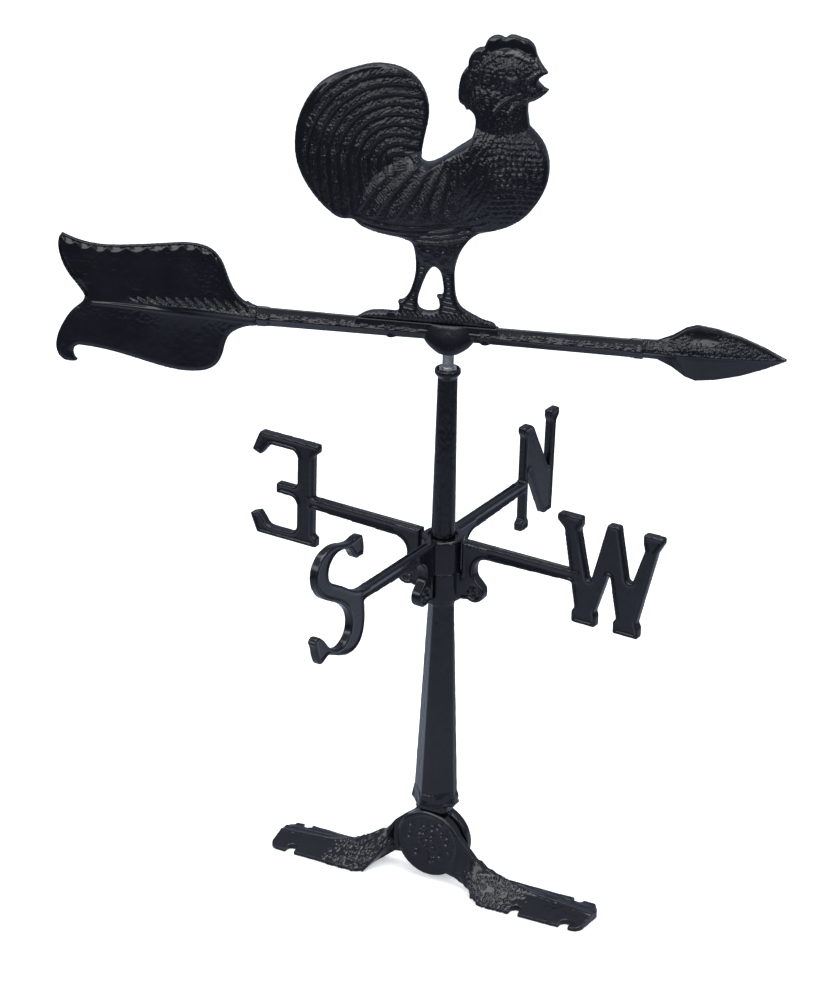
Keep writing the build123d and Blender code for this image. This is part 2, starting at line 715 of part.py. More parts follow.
# Side view of the forked vane with its hooked lower lobe.
TAIL_OUTLINE = smooth_outline(
    [
        [(-160, 512.2), (-166, 514.2), (-171, 516), (-176, 520), (-182, 529), (-186, 539), (-189, 547)]
        + [(-194, 555), (-201, 560.5), (-210, 563), (-224, 563.2)],
        [(-226, 563), (-250, 559.5), (-270, 557), (-289, 555.6), (-302, 556.4), (-313, 558.8)],
        [(-325, 563.4)],
        [(-327, 560), (-327.6, 551), (-325, 540), (-319.5, 529), (-312, 519.5)],
        [(-305.5, 510), (-307, 505), (-315, 497), (-323, 486), (-328, 475), (-330, 465), (-328.5, 456.5)]
        + [(-324, 451.4), (-318, 450)],
        [(-311.5, 451.2), (-315, 454.5), (-315.6, 459.5), (-313, 464)],
        [(-309, 465.2), (-294, 464), (-280, 461.8), (-262, 457.8), (-246, 454), (-230, 451), (-214, 450.6)]
        + [(-202, 453), (-193, 459.5), (-189.4, 467), (-187, 477), (-182, 487), (-175, 492), (-168, 495)],
        [(-160, 496.2)],
    ]
)

with BuildPart() as arrow_tail:
    with BuildSketch(upright_plane(ARROW_HEADING)):
        add(TAIL_OUTLINE)
    extrude(amount=2.8, both=True)
    # Quill down the middle, thinning towards the fork.
    for distance, half_width, half_height in ((-160.2, 5.6, 8.2), (-300, 3.4, 3.0)):
        with BuildSketch(cross_plane(ARROW_HEADING, distance)):
            add(rhombus(half_width, half_height, ARROW_HEIGHT))
    loft(ruled=True)
    with BuildSketch(cross_plane(ARROW_HEADING, -165)):
        with Locations((0, ARROW_HEIGHT)):
            Circle(SPIGOT_RADIUS)
    extrude(amount=5 + SPIGOT_LENGTH)
finish(arrow_tail.part, "arrow_tail")

HEAD_SECTIONS = (
    (160.2, 5.6, 8.2),
    (172, 5.6, 8.6),
    (184, 6.2, 14.0),
    (195, 6.6, 21.6),
    (204, 6.6, 24.6),
    (220, 6.2, 22.6),
    (240, 5.2, 17.4),
    (260, 3.6, 9.6),
    (277.6, 0.9, 1.2),
)

with BuildPart() as arrow_head:
    # Leaf-shaped spear point with a sharp middle ridge on each side.
    for distance, half_width, half_height in HEAD_SECTIONS:
        with BuildSketch(cross_plane(ARROW_HEADING, distance)):
            add(rhombus(half_width, half_height, ARROW_HEIGHT + 0.8))
    loft(ruled=True)
    with BuildSketch(cross_plane(ARROW_HEADING, 165)):
        with Locations((0, ARROW_HEIGHT)):
            Circle(SPIGOT_RADIUS)
    extrude(amount=-5 - SPIGOT_LENGTH)
finish(arrow_head.part, "arrow_head")

with BuildPart() as arrow_grub_screws:
    for station in GRUB_STATIONS:
        spot = upright_plane(ARROW_HEADING).from_local_coords((station, 0, 0))
        with BuildSketch(Plane.XY.offset(SHAFT_UNDERSIDE)):
            with Locations((spot.X, spot.Y)):
                Circle(GRUB_RADIUS)
        extrude(amount=ARROW_HEIGHT - SPIGOT_RADIUS - SHAFT_UNDERSIDE - 0.05)
        with BuildSketch(Plane.XY.offset(SHAFT_UNDERSIDE)):
            with Locations((spot.X, spot.Y)):
                RegularPolygon(0.9, 6)
        extrude(amount=1.6, mode=Mode.SUBTRACT)
finish(arrow_grub_screws.part, "arrow_grub_screws")

# ---------------------------------------------------------------- rooster

ROOSTER_RIM = 3.6
ROOSTER_SLAB = 24.0

# Body masses: centre (along, up), half sizes (along, up, sideways), tilt.
ROOSTER_MASSES = (
    ((34, 645), (48, 54, 18.0), 0),
    ((-22, 622), (62, 40, 12.5), 18),
    ((36, 692), (26, 48, 13.0), 0),
    ((44, 727), (29, 28, 11.5), 0),
    ((-78, 662), (62, 80, 6.0), 20),
    ((-8, 582), (24, 28, 10.5), 0),
)

# Side view of the rooster, facing the arrow head.
ROOSTER_OUTLINE = smooth_outline(
    [
        # Comb, front to back.
        [(74.5, 734), (70, 739.5), (66, 746)],
        [(63.5, 753.5), (60, 759), (53, 762)],
        [(52.4, 762), (47, 763.8), (41.5, 763.2), (38.3, 761)],
        [(37.8, 761), (33.5, 762.8), (27.5, 761.2), (23.5, 756.5), (21.4, 751.8)],
        [(21, 751.6), (16.5, 750.6), (12.2, 746), (9.8, 740), (9.2, 735)],
        [(8.8, 734.4), (5, 729), (2.7, 719.5), (2.4, 709), (4, 704.3), (7, 702.3)],
        # Nape and back.
        [(8.7, 698.5), (12.5, 699), (15.8, 696), (17, 688), (15.5, 679), (12, 671.3), (5, 665.8)]
        + [(-5, 658.8), (-14, 652.8), (-20.5, 649.6), (-25.4, 650.4)],
        # Tail fan.
        [(-26.6, 652), (-25.8, 664), (-23.5, 677), (-21.4, 690), (-21.8, 700), (-25, 711), (-31, 720.5)]
        + [(-41, 728), (-54, 731.4), (-68, 731), (-84, 726), (-101, 718.6), (-113, 709), (-122, 695.6)]
        + [(-128, 680), (-130.5, 662), (-129.2, 646), (-124.5, 632), (-117, 619.6), (-108, 608.8)]
        + [(-99, 601), (-90, 597), (-80.5, 596.8)],
        # Belly and rear leg, with its spur.
        [(-79.5, 596.2), (-74, 591.6), (-62, 588), (-47, 585.8), (-38, 584), (-32.4, 580.4), (-30, 574)]
        + [(-28.7, 563), (-29.5, 551), (-32.5, 540), (-36.3, 532.6), (-39, 530)],
        [(-43, 529.3), (-41.8, 525.5), (-42.4, 520.3)],
        [(-43, 519.4), (-50, 518.8), (-60, 518.6), (-68, 516.8), (-73, 514)],
        [(-76, SHAFT_TOP)],
        [(39, SHAFT_TOP), (35, 516), (28, 517.6), (22, 520.2), (14, 524), (8, 529), (5, 536), (3.6, 547)]
        + [(3.2, 557), (4.8, 567), (9, 578), (15, 587), (22, 592.8), (32, 597), (42, 600.8), (52, 606)]
        + [(62, 614), (70, 625), (75.5, 637), (78, 651), (76.5, 664), (72, 675.5), (65, 683.8)],
        # Throat and beak.
        [(60.6, 688.5), (59.4, 696), (58.8, 704), (60.4, 709.4)],
        [(61, 709.8), (66, 712), (71, 715.6)],
        [(75.5, 720.4), (71, 722.2)],
        [(69, 723.5), (66.4, 727.2), (68, 730.4)],
    ]
)

# Opening between the legs.
LEG_OPENING = smooth_outline(
    [
        [(-12, 537), (-5.8, 538)],
        [(-5.3, 540), (-5.5, 546), (-6.8, 553), (-9, 559.5), (-12.5, 562.5), (-17, 558.5), (-21, 550.5)]
        + [(-24.5, 540), (-26.6, 530), (-25.2, 524), (-21, 521.8), (-14, 521.9), (-9.4, 524), (-8.2, 528)],
    ],
)

with BuildPart() as rooster_slab:
    with BuildSketch(upright_plane(ARROW_HEADING)):
        add(ROOSTER_OUTLINE)
        add(LEG_OPENING, mode=Mode.SUBTRACT)
    extrude(amount=ROOSTER_SLAB, both=True)

# The outline holds a flat core and rounded masses for breast, rump, neck, head, tail and thighs.
with BuildPart() as rooster_core:
    with BuildSketch(upright_plane(ARROW_HEADING)):
        with Locations((-25, 640)):
            Rectangle(230, 270)
    extrude(amount=ROOSTER_RIM, both=True)
rooster_masses = rooster_core.part.fuse(*[blob(*mass) for mass in ROOSTER_MASSES])
rooster_body = rooster_slab.part & rooster_masses

with BuildPart() as rooster:
    add(rooster_body)
    for station in SCREW_STATIONS:
        spot = upright_plane(ARROW_HEADING).from_local_coords((station, 0, 0))
        with BuildSketch(Plane.XY.offset(SHAFT_TOP - 1)):
            with Locations((spot.X, spot.Y)):
                Circle(SCREW_RADIUS + TAP_GAP)
        extrude(amount=SCREW_REACH - SHAFT_TOP + 1, mode=Mode.SUBTRACT)
finish(rooster.part, "rooster")

with BuildPart() as rooster_screws:
    for station in SCREW_STATIONS:
        spot = upright_plane(ARROW_HEADING).from_local_coords((station, 0, 0))
        with BuildSketch(Plane.XY.offset(SHAFT_UNDERSIDE + 0.2)):
            with Locations((spot.X, spot.Y)):
                Circle(SCREW_HEAD_RADIUS)
        extrude(amount=SCREW_HEAD_HEIGHT)
        with BuildSketch(Plane.XY.offset(SHAFT_UNDERSIDE + SCREW_HEAD_HEIGHT)):
            with Locations((spot.X, spot.Y)):
                Circle(SCREW_RADIUS)
        extrude(amount=SCREW_REACH - SHAFT_UNDERSIDE - 5)
        with BuildSketch(Plane.XY.offset(SHAFT_UNDERSIDE + 0.2)):
            with Locations((spot.X, spot.Y)):
                Rectangle(3.4, 0.8)
                Rectangle(0.8, 3.4)
        extrude(amount=1.2, mode=Mode.SUBTRACT)
finish(rooster_screws.part, "rooster_screws")
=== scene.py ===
from math import atan2, cos, pi, radians, sin, tau

import bpy
import numpy as np
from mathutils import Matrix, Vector
from mathutils.kdtree import KDTree


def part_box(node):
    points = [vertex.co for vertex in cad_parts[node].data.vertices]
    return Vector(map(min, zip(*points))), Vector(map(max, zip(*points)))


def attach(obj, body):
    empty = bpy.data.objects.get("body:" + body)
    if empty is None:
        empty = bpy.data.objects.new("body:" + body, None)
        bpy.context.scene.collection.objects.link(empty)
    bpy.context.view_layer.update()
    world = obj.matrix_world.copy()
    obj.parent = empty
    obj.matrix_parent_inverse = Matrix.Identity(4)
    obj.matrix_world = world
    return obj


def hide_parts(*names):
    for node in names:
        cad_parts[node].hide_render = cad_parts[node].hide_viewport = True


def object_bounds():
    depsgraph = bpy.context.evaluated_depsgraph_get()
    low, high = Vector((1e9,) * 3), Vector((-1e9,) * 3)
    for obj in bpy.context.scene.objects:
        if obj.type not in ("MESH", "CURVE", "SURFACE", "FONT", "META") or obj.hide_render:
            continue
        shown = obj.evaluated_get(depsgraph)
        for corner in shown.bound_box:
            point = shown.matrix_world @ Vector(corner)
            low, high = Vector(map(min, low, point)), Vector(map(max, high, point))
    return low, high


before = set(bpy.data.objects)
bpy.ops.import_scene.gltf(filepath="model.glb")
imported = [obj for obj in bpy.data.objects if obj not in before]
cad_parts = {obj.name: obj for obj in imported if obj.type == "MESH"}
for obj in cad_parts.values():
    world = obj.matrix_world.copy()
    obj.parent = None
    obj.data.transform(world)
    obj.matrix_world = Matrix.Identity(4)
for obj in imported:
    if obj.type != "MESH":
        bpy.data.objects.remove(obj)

# The looks of a cast rooster weather vane, built round its CAD frame. Blender objects are in metres;
# the relief on the castings is worked out in millimetres, in each casting's own upright plane:
# "along" runs outward from the post's axis and "up" is the height above the feet.

MM = 0.001
cad_box = [list(corner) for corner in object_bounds()]


# ---------------------------------------------------------------- small tools


def smooth(low, high, value):
    """0 below low, 1 above high, and a smooth rise between."""
    t = np.clip((value - low) / (high - low), 0.0, 1.0)
    return t * t * (3.0 - 2.0 * t)


def between(low, high, edge, value):
    """1 from low to high, fading to 0 over edge outside them."""
    return smooth(low - edge, low, value) * (1.0 - smooth(high, high + edge, value))


def bead(distance, half_width):
    """A rounded ridge, 1 high, along distance 0."""
    return np.exp(-((distance / half_width) ** 2))


def saw(phase, fall):
    """A slow rise over each whole number, then a quick fall, from 0 to 1."""
    part = phase - np.floor(phase)
    return np.where(part < 1.0 - fall, part / (1.0 - fall), (1.0 - part) / fall)


def stroke(along, up, points, half_width):
    """A raised line through a few points."""
    nearest = np.full(along.shape, 1e9)
    for (x0, y0), (x1, y1) in zip(points, points[1:]):
        dx, dy = x1 - x0, y1 - y0
        t = np.clip(((along - x0) * dx + (up - y0) * dy) / (dx * dx + dy * dy), 0.0, 1.0)
        nearest = np.minimum(nearest, np.hypot(along - x0 - t * dx, up - y0 - t * dy))
    return bead(nearest, half_width)


def scatter(i, j, k, seed):
    """A repeatable random number from 0 to 1 for each whole-number place."""
    mixed = (
        i.astype(np.int64) * 374761393
        + j.astype(np.int64) * 668265263
        + k.astype(np.int64) * 1274126177
        + seed * 97531
    ) & 0xFFFFFFFF
    mixed = ((mixed ^ (mixed >> 13)) * 1103515245) & 0xFFFFFFFF
    return ((mixed ^ (mixed >> 16)) & 0xFFFFFF) / float(0xFFFFFF)


def noise(x, y, z, seed=0):
    """Smooth noise from -1 to 1, with features about one unit across."""
    ix, iy, iz = np.floor(x), np.floor(y), np.floor(z)
    fx, fy, fz = smooth(0, 1, x - ix), smooth(0, 1, y - iy), smooth(0, 1, z - iz)
    total = 0.0
    for dx in (0, 1):
        for dy in (0, 1):
            for dz in (0, 1):
                weight = (fx if dx else 1 - fx) * (fy if dy else 1 - fy) * (fz if dz else 1 - fz)
                total = total + weight * scatter(ix + dx, iy + dy, iz + dz, seed)
    return 2.0 * total - 1.0


def cells(x, y, seed):
    """Distance to the nearest of scattered centres one unit apart, and that centre's own number."""
    ix, iy = np.floor(x), np.floor(y)
    nearest = np.full(x.shape, 9.0)
    owner = np.zeros(x.shape)
    for dx in (-1, 0, 1):
        for dy in (-1, 0, 1):
            cx, cy = ix + dx, iy + dy
            zero = np.zeros_like(cx)
            px = cx + 0.15 + 0.7 * scatter(cx, cy, zero, seed)
            py = cy + 0.15 + 0.7 * scatter(cx, cy, zero + 1, seed)
            distance = np.hypot(x - px, y - py)
            closer = distance < nearest
            nearest = np.where(closer, distance, nearest)
            owner = np.where(closer, scatter(cx, cy, zero + 2, seed), owner)
    return nearest, owner


# ---------------------------------------------------------------- castings


def points_of(mesh, what):
    values = np.empty(len(mesh.vertices) * 3, np.float32)
    mesh.vertices.foreach_get(what, values)
    return values.reshape(-1, 3).astype(float)


def heading_of(node):
    """The direction, about Z, in which a CAD piece reaches furthest from the post."""
    places = points_of(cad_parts[node].data, "co")
    reach = np.hypot(places[:, 0], places[:, 1])
    tip = places[reach > reach.max() - 1.0 * MM].mean(0)
    return atan2(tip[1], tip[0])


ARROW = heading_of("arrow_head")
WEST = heading_of("east_west_arms")
SOUTH = heading_of("north_south_arms")


class Casting:
    """A finely meshed copy of a CAD casting, with softened edges, whose faces take relief."""

    def __init__(self, node, voxel, rounding):
        self.node = node
        piece = bpy.data.objects.new(node + "_casting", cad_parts[node].data.copy())
        bpy.context.scene.collection.objects.link(piece)
        remesh = piece.modifiers.new("remesh", "REMESH")
        remesh.mode = "VOXEL"
        remesh.voxel_size = voxel * MM
        soften = piece.modifiers.new("soften", "SMOOTH")
        soften.factor = 0.5
        soften.iterations = rounding
        graph = bpy.context.evaluated_depsgraph_get()
        fine = bpy.data.meshes.new_from_object(piece.evaluated_get(graph))
        piece.modifiers.clear()
        piece.data = fine
        fine.name = piece.name
        fine.polygons.foreach_set("use_smooth", np.ones(len(fine.polygons), bool))
        self.piece = piece
        self.mesh = fine
        self.place = points_of(fine, "co") / MM
        self.normal = points_of(fine, "normal")

    def upright(self, heading):
        """Along, up and how squarely each point faces out of the upright plane at a heading."""
        along = self.place[:, 0] * cos(heading) + self.place[:, 1] * sin(heading)
        facing = self.normal[:, 0] * sin(heading) - self.normal[:, 1] * cos(heading)
        return along, self.place[:, 2], np.abs(facing)

    def rim(self, along, up, squareness, limit=12.0):
        """Distance from each point to the casting's outline in the upright plane, in mm."""
        walls = np.flatnonzero(squareness < 0.5)
        tree = KDTree(len(walls))
        for i in walls:
            tree.insert((along[i], up[i], 0.0), int(i))
        tree.balance()
        distance = np.full(len(along), limit)
        for i in np.flatnonzero(squareness >= 0.5):
            distance[i] = min(limit, tree.find((along[i], up[i], 0.0))[2])
        return distance

    def press(self, height):
        """Raise every point along its normal by a height in mm."""
        self.place += self.normal * height[:, None]
        self.mesh.vertices.foreach_set("co", (self.place * MM).astype(np.float32).ravel())
        self.mesh.update()
        self.normal = points_of(self.mesh, "normal")

    def level(self):
        """Bring whatever the relief pushed below the ground plane back up to it."""
        self.place[:, 2] = np.maximum(self.place[:, 2], 0.0)
        self.press(np.zeros(len(self.place)))

    def grain(self, size, height, seed):
        """The fine skin of a sand casting."""
        x, y, z = (self.place / size).T
        self.press(height * noise(x, y, z, seed))

    def done(self, body, coat, textured=None):
        """Coat the casting, with the sand-textured coat where textured is over a half."""
        self.mesh.materials.clear()
        self.mesh.materials.append(coat.smooth)
        self.mesh.materials.append(coat.textured)
        if textured is not None:
            corners = np.empty(len(self.mesh.loops), np.int32)
            self.mesh.loops.foreach_get("vertex_index", corners)
            starts = np.empty(len(self.mesh.polygons), np.int32)
            self.mesh.polygons.foreach_get("loop_start", starts)
            index = (textured[corners[starts]] > 0.5).astype(np.int32)
            self.mesh.polygons.foreach_set("material_index", index)
        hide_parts(self.node)
        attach(self.piece, body)


# ---------------------------------------------------------------- rooster relief

FAN_CENTRE = (-45.0, 650.0)
FAN_PITCH = 8.4
SADDLE_CENTRE = (2.0, 672.0)
SADDLE_STEP = 10.5
EYE = (46.0, 734.5)
WALL_CROWN = 0.016


def feather(phase):
    """Across one feather: a broad barbed slope from its crest, then a smooth groove."""
    part = phase - np.floor(phase)
    slope = 1.0 - smooth(0.0, 0.62, part)
    return slope + smooth(0.88, 1.0, part), between(0.03, 0.56, 0.04, part)


def fan_border(along):
    """Height of the line between the tail fan and the saddle feathers."""
    return np.where(along > -68, 650 + 0.5 * (along + 26), 629 + 2.8 * (along + 68))


def tail_fan(along, up):
    """Nested sickle feathers that arch over and then hang straight down, with barbs across them."""
    right, high = along - FAN_CENTRE[0], up - FAN_CENTRE[1]
    right = np.where(right > 0, 0.55 * right, right)
    radius = np.hypot(right, np.clip(high, 0, 200)) + 0.1 * np.clip(-high, 0, 200)
    swing = np.arctan2(np.clip(high, 0, 200), right) * radius + np.clip(-high, 0, 200)
    height, barbed = feather(radius / FAN_PITCH)
    wander = 1.4 * noise(swing / 5.0, radius / 5.0, radius * 0, 13)
    barb = np.sin(tau * (swing + 0.9 * radius + wander) / 2.4)
    speckle = noise(swing / 1.7, radius / 1.5, radius * 0, 19)
    return 1.15 * height + (0.35 * barb + 0.6 * speckle) * barbed, barbed


def saddle_feathers(along, up):
    """Long feathers that spread from the back down towards the belly."""
    right, high = along - SADDLE_CENTRE[0], up - SADDLE_CENTRE[1]
    angle = np.degrees(np.arctan2(high, right)) % 360
    radius = np.hypot(right, high)
    bent = 243 + (angle - 243) / (1 + 0.4 * np.clip((75 - radius) / 50, -0.5, 1.0))
    height, barbed = feather(-bent / SADDLE_STEP + 0.35)
    barb = np.sin(tau * (0.8 * along + 0.75 * up + 1.2 * noise(along / 5, up / 5, up * 0, 15)) / 2.3)
    barb = 0.34 * barb + 0.25 * noise(along / 1.6, up / 1.6, up * 0, 16)
    return 1.1 * height + 1.2 * barb * barbed, np.clip(barbed + 0.6, 0, 1)


def breast_scales(along, up):
    """Rows of small overlapping feathers of uneven size, out of step from row to row."""
    level = (up + 0.0035 * (along - 50) ** 2 + 1.5 * noise(along / 8, up / 8, up * 0, 17)) / 4.7
    row = np.floor(level)
    across = along / 5.0 + 0.5 * (row % 2) + 0.7 * scatter(row, row * 0, row * 0, 5)
    side = 2 * (across - np.floor(across)) - 1
    size = 0.25 + 0.75 * scatter(row, np.floor(across), row * 0, 7)
    return size * np.clip(1 - side**2, 0, 1) ** 1.3 * saw(1 - (level - row), 0.3)


def hackles(along, up):
    """Narrow broken streaks that run down the neck and lean back over the shoulders."""
    lean = 0.42 * np.clip(700 - up, 0, 200)
    return noise((along + lean) / 1.5, up / 7.0, up * 0, 11)


def rooster_relief(along, up, rim):
    """Height of the rooster's cast plumage, and where it is sand-textured."""
    fan = smooth(0, 3.0, up - fan_border(along)) * (1 - smooth(-27, -21, along))
    back = 1 - smooth(2, 18, along)
    saddle = (1 - fan) * back * smooth(600, 605, up)
    neck = smooth(655, 672, up) * (1 - smooth(718, 730, up)) * smooth(2, 12, along)
    breast = smooth(24, 42, along) * smooth(596, 603, up) * (1 - smooth(676, 694, up))
    shoulder = smooth(2, 14, along) * (1 - smooth(30, 46, along)) * between(600, 672, 8, up)
    head = smooth(712, 722, up)
    fan_height, fan_barbs = tail_fan(along, up)
    saddle_height, saddle_barbs = saddle_feathers(along, up)
    height = fan * fan_height
    height += saddle * (1 - neck) * saddle_height
    height += 1.35 * breast * breast_scales(along, up)
    height += 0.5 * np.clip(neck + shoulder, 0, 1) * (1 - 0.6 * breast) * hackles(along, up)
    # Belly bands.
    for level, sweep in ((600.5, 0.0034), (596.0, 0.0028), (591.8, 0.0022), (588.2, 0.0018)):
        curve = level - 4.5 + sweep * (along + 42) ** 2
        height += 0.9 * bead(up - curve, 1.1) * between(-74, 26, 8, along)
    # Thighs, ringed shanks and the gripping toes.
    thigh = between(-34, 18, 4, along) * between(566, 588, 4, up)
    height += 0.6 * thigh * noise(along / 2.6, up / 3.2, up * 0, 21)
    height += 0.4 * between(524, 562, 3, up) * np.sin(tau * (up + 0.15 * along) / 4.2)
    toes = 1 - smooth(519, 524, up)
    height += 1.3 * toes * saw((along + 0.7 * up) / 4.2, 0.4)
    # Head: comb creases, eye, beak line and wattles.
    crease = [(17, 722), (19, 731), (24, 741), (34, 748.5), (46, 750), (61, 744)]
    height += 0.9 * stroke(along, up, crease, 1.3)
    comb = smooth(748, 753, up)
    height += 0.6 * comb * np.cos(tau * (along - 30) / 12.5)
    eye = np.hypot(along - EYE[0], (up - EYE[1]) * 1.15)
    ring = bead(eye - 5.4, 1.3)
    height += 1.2 * ring + 1.1 * np.clip(1 - (eye / 2.9) ** 2, 0, 1) - 0.7 * bead(eye, 4.2)
    height += 0.9 * stroke(along, up, [(38, 738.5), (46, 742), (54, 739)], 1.3)
    height += 1.0 * stroke(along, up, [(59, 731), (65, 734.5), (73, 736)], 1.2)
    height += 0.8 * stroke(along, up, [(60, 723), (66, 722), (72, 721)], 1.1)
    height += 1.3 * stroke(along, up, [(33, 702), (38, 709), (45, 714), (54, 718.5)], 1.3)
    height += 1.3 * stroke(along, up, [(45, 702), (50, 709), (56, 713), (63, 714.5)], 1.3)
    cheek = head * (1 - comb) * smooth(6, 14, along)
    height += 0.5 * cheek * noise(along / 1.7, up / 1.7, up * 0, 31)
    # The outline keeps a smooth, slightly rounded border, widest down the back of the tail.
    border = smooth(1.4, 4.5, rim - 3.5 * (1 - smooth(-118, -100, along)))
    textured = fan * fan_barbs + saddle * saddle_barbs
    textured = np.clip(textured + neck + shoulder + 0.8 * breast + cheek + thigh + toes, 0, 1) * border
    return height * border - 0.6 * (1 - smooth(0.0, 2.6, rim)), textured


def make_rooster(coat):
    casting = Casting("rooster", 0.7, 7)
    along, up, square = casting.upright(ARROW)
    rim = casting.rim(along, up, square)
    height, textured = rooster_relief(along, up, rim)
    faces = smooth(0.3, 0.7, square)
    # The walls round the outline are crowned, most where the body is thick.
    side = casting.place[:, 0] * sin(ARROW) - casting.place[:, 1] * cos(ARROW)
    casting.press(faces * height - (1 - faces) * WALL_CROWN * side**2)
    casting.grain(2.2, 0.1, 3)
    casting.done("vane", coat, textured * faces)


# ---------------------------------------------------------------- arrow relief

# The raised line along the arrow is at this height, and the tail's quill rises from it to the fork.
ARROW_LINE = 503.6
QUILL_START = (-165.0, ARROW_LINE)
QUILL_SLOPE = -4.4 / 135.0


def make_tail(coat):
    casting = Casting("arrow_tail", 0.72, 3)
    along, up, square = casting.upright(ARROW)
    rim = casting.rim(along, up, square)
    over = up - QUILL_START[1] - QUILL_SLOPE * (along - QUILL_START[0])
    # Saw-toothed barbs along the top of the quill.
    part = (along + 0.55 * over) / 8.6
    part = part - np.floor(part)
    tooth = np.clip(1.25 - over / (6.0 + 6.0 * smooth(-270, -190, along)) - 0.8 * part, 0, 1)
    toothed = smooth(0.5, 2.0, over) * smooth(-282, -245, along)
    height = 2.0 * smooth(0.0, 0.5, tooth) * toothed
    height += 0.3 * toothed * smooth(0, 0.3, tooth) * noise(along / 1.3, up / 1.3, up * 0, 41)
    height += 1.4 * bead(over - 0.6, 1.2) * smooth(-290, -225, along)
    height -= 0.8 * bead(over + 2.2, 1.3) * smooth(-290, -225, along)
    # The lower half falls away from the quill, less and less towards the fork.
    fall = 0.2 + 1.8 * smooth(-290, -225, along)
    height += fall * np.exp(np.minimum(over + 3.0, 0.0) / 11.0) * (1 - smooth(-3.0, 0.0, over))
    # Beaten upper edge and a rolled lower edge.
    upper = smooth(-2, 4, over)
    wander = 4.0 * noise(along / 20, up * 0, up * 0, 43)
    scallop = 1.4 + 5.6 * np.abs(np.sin(pi * (along + wander) / 15.0))
    height -= 2.3 * upper * (1 - smooth(0.0, 1.0, rim / scallop)) * (1 - smooth(-196, -184, along))
    height -= 1.0 * (1 - upper) * (1 - smooth(0.0, 3.4, rim))
    # Faint sand marks.
    patch = smooth(0.05, 0.5, noise(along / 22.0, up / 15.0, up * 0, 45))
    height += 0.16 * patch * noise(along / 1.9, up / 1.9, up * 0, 47)
    casting.press(smooth(0.35, 0.8, square) * height)
    casting.grain(3.0, 0.05, 49)
    casting.done("vane", coat, toothed * smooth(0, 0.3, tooth))


def make_shaft(coat):
    casting = Casting("arrow_shaft", 0.62, 3)
    along, up, square = casting.upright(ARROW)
    out = np.hypot(casting.place[:, 0], casting.place[:, 1])
    bar = smooth(20.0, 27.0, out)
    speckle = noise(along / 3.4, up / 1.1, square * 2.0, 51) + 0.5 * noise(along / 1.3, up / 1.0, square, 53)
    height = 0.36 * bar * between(504.6, 507.6, 1.0, up) * speckle
    height += 0.5 * bar * bead(up - ARROW_LINE, 0.8)
    # Thicker ends where the tail and the head are let in.
    height += 0.7 * smooth(148, 152, np.abs(along)) + 0.05 * noise(along / 4, up / 4, square, 55)
    casting.press(height)
    casting.done("vane", coat)


def make_head(coat):
    casting = Casting("arrow_head", 0.6, 3)
    along, up, square = casting.upright(ARROW)
    rim = casting.rim(along, up, square)
    upper = smooth(503.5, 506.0, up)
    hollow = np.exp(-(((along - 210) / 16) ** 2) - ((up - 519) / 7.5) ** 2)
    height = -1.5 * hollow * upper
    speckle = noise(along / 1.25, up / 1.25, up * 0, 61)
    height += 0.38 * speckle * upper * (1 - hollow) * smooth(2.2, 3.8, rim) * smooth(172, 184, along)
    height += 0.8 * bead(rim - 1.9, 1.2) * upper * smooth(178, 186, along)
    height += 0.6 * bead(up - ARROW_LINE - 0.012 * (along - 170), 1.1)
    height += 0.35 * speckle * (1 - smooth(172, 182, along)) * upper
    casting.press(smooth(0.3, 0.7, square) * height)
    casting.grain(3.0, 0.05, 63)
    casting.done("vane", coat, upper * (1 - hollow) * smooth(2.2, 3.8, rim) * smooth(0.3, 0.7, square))


# ---------------------------------------------------------------- compass relief

WEB_LOBE = (33.0, 279.0)
ARM_MIDDLE = 317.5
LETTER_START = 122.0


def make_compass_casting(node, heading, coat, seed):
    casting = Casting(node, 0.74, 3)
    along, up, square = casting.upright(heading)
    rim = casting.rim(along, up, square)
    reach = np.abs(along)
    faces = smooth(0.35, 0.8, square)
    letter = smooth(LETTER_START - 4, LETTER_START + 2, reach)
    arm = smooth(44, 50, reach) * (1 - letter) * between(305, 326, 2, up)
    # Letters: a rolled edge round a very slightly sunken face.
    height = letter * (0.5 * bead(rim - 1.7, 1.0) - 0.5 * smooth(2.0, 4.5, rim))
    # Arms: a sunken band along each side, with a beaded line above it near the hub.
    height -= arm * 0.9 * bead(up - ARM_MIDDLE, 2.4)
    chain = between(24, 62, 6, reach) * bead(up - ARM_MIDDLE - 2.6, 0.9)
    height += 0.4 * chain * (0.5 + 0.5 * np.cos(tau * along / 3.4))
    # Webs: a bead inside the outline and a rosette on each lobe.
    web = (1 - smooth(42, 48, reach)) * smooth(21.0, 23.0, reach)
    height += 0.7 * web * bead(rim - 2.0, 1.0)
    petal_x, petal_y = reach - WEB_LOBE[0], up - WEB_LOBE[1]
    spread = np.hypot(petal_x, petal_y)
    turn = np.arctan2(petal_y, petal_x)
    rosette = bead(spread - 3.6, 2.0) * (0.5 + 0.5 * np.cos(5 * turn + 0.6)) + bead(spread, 1.5)
    height += 1.3 * rosette * (1 - smooth(7.0, 8.0, spread)) - 0.6 * (1 - smooth(5.5, 7.0, spread))
    casting.press(faces * height)
    # A groove down the top of each arm.
    side = casting.place[:, 0] * sin(heading) - casting.place[:, 1] * cos(heading)
    top = smooth(0.6, 0.9, casting.normal[:, 2]) * between(312, 324.5, 1, up)
    on_arm = smooth(22, 27, reach) * (1 - letter)
    casting.press(on_arm * top * (0.5 * bead(np.abs(side) - 2.5, 0.9) - 0.7 * bead(side, 1.2)))
    casting.grain(3.2, 0.03, seed + 1)
    casting.done("compass", coat)


# ---------------------------------------------------------------- posts


POST_RADIUS = 14.0
HOLLOW_RADIUS = 7.0
SKIRT_LOW = 74.0
SKIRT_HIGH = 84.0


